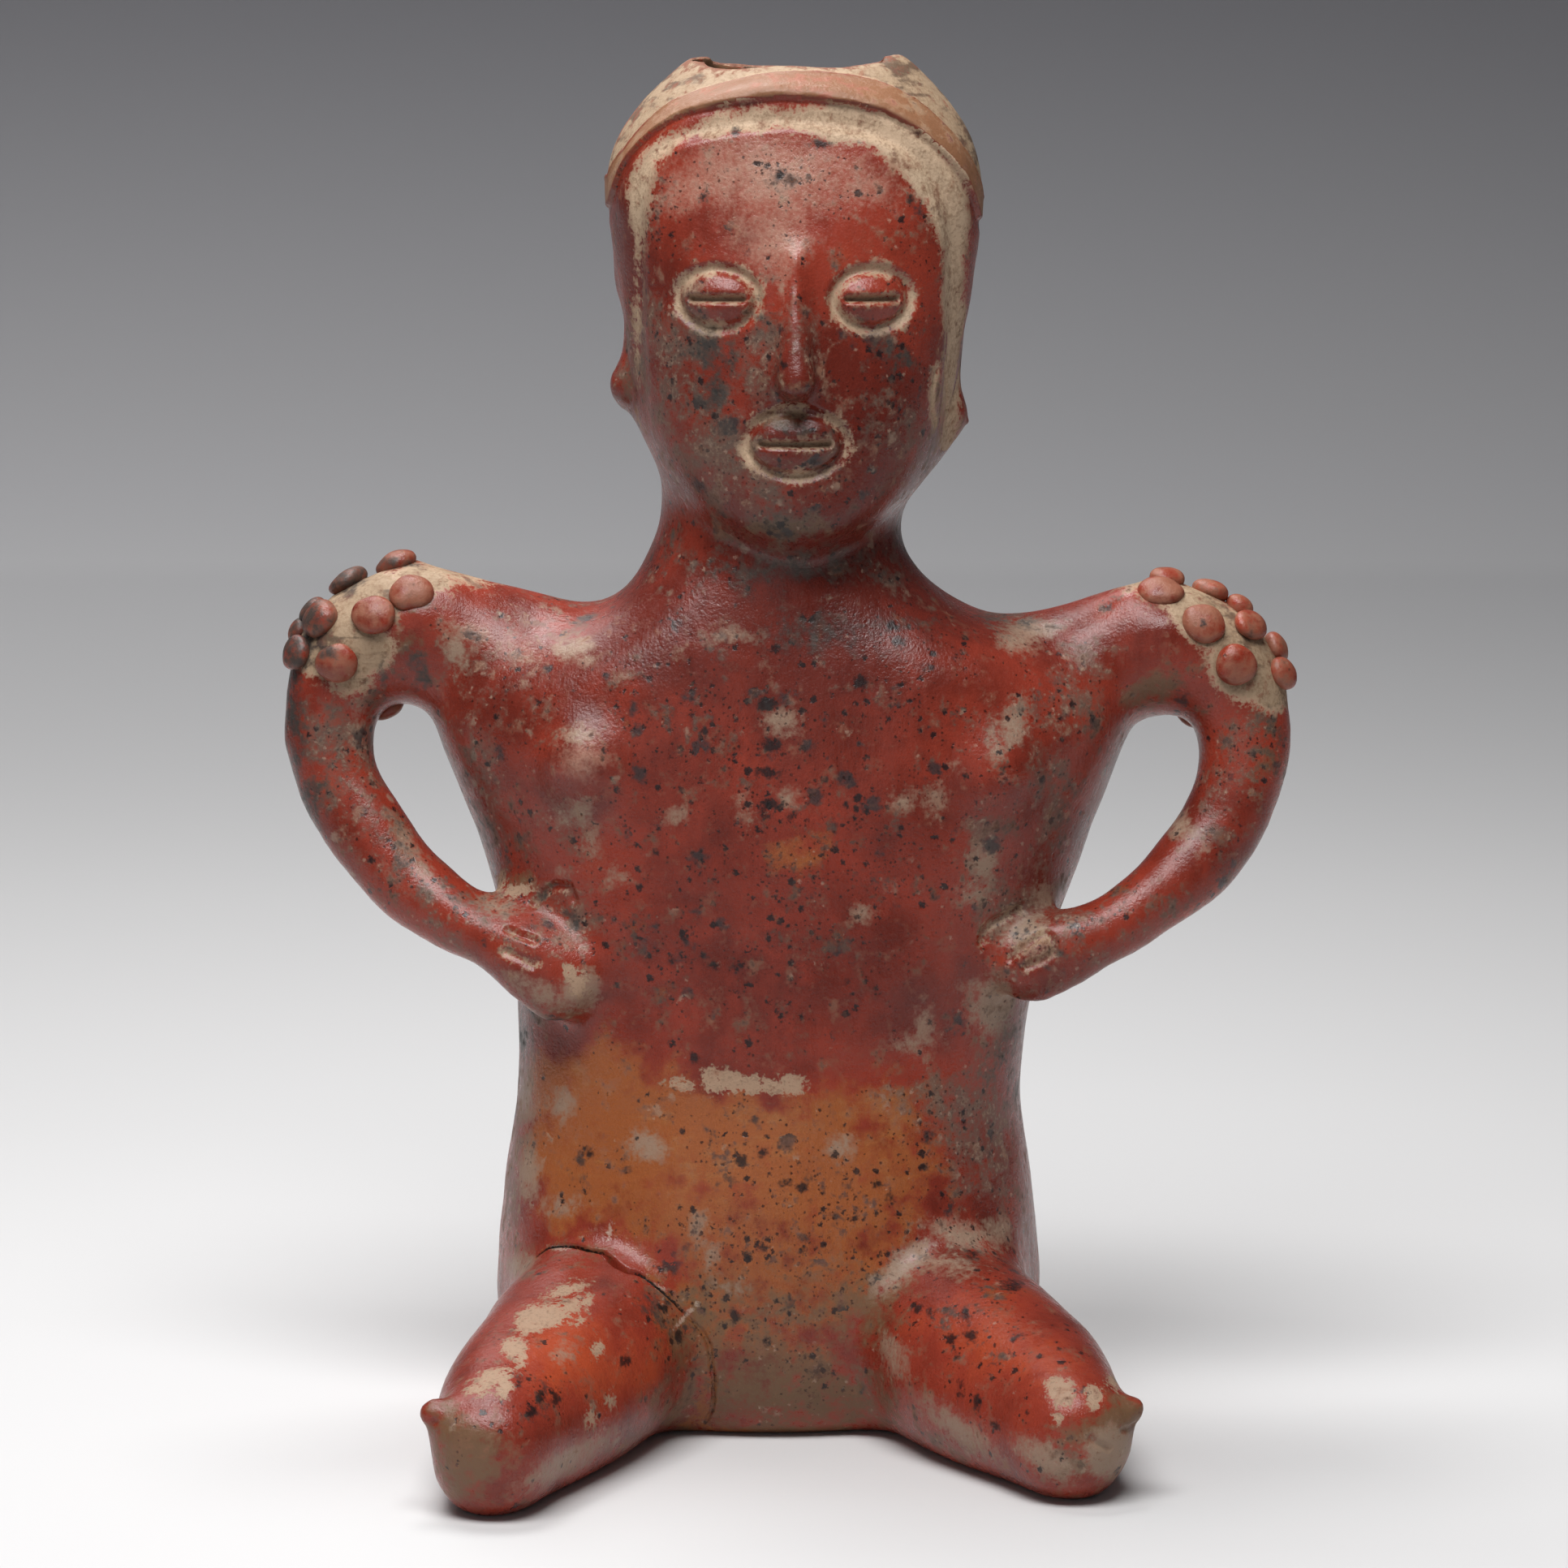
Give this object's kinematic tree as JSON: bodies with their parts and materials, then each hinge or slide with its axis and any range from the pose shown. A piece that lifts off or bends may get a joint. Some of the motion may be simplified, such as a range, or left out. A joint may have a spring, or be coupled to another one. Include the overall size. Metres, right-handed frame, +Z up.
{
  "type": "seated hollow ceramic figure",
  "caption": "Seated hollow figure of burnished red earthenware with hands on the belly, arched headband and an open crown, standing on its seat and legs.",
  "frame": {"origin": "on the floor, under the middle of the figure's bounding box", "axes": "+Z up through the open crown, -Y the way that the figure faces, -X to its right side"},
  "size_m": [0.2852, 0.201, 0.38],
  "materials": {
    "red_slipped_earthenware": "burnished red slip over a buff body, worn and mottled"
  },
  "bodies": {
    "root": {"figure": "red_slipped_earthenware"}
  },
  "joints": []
}
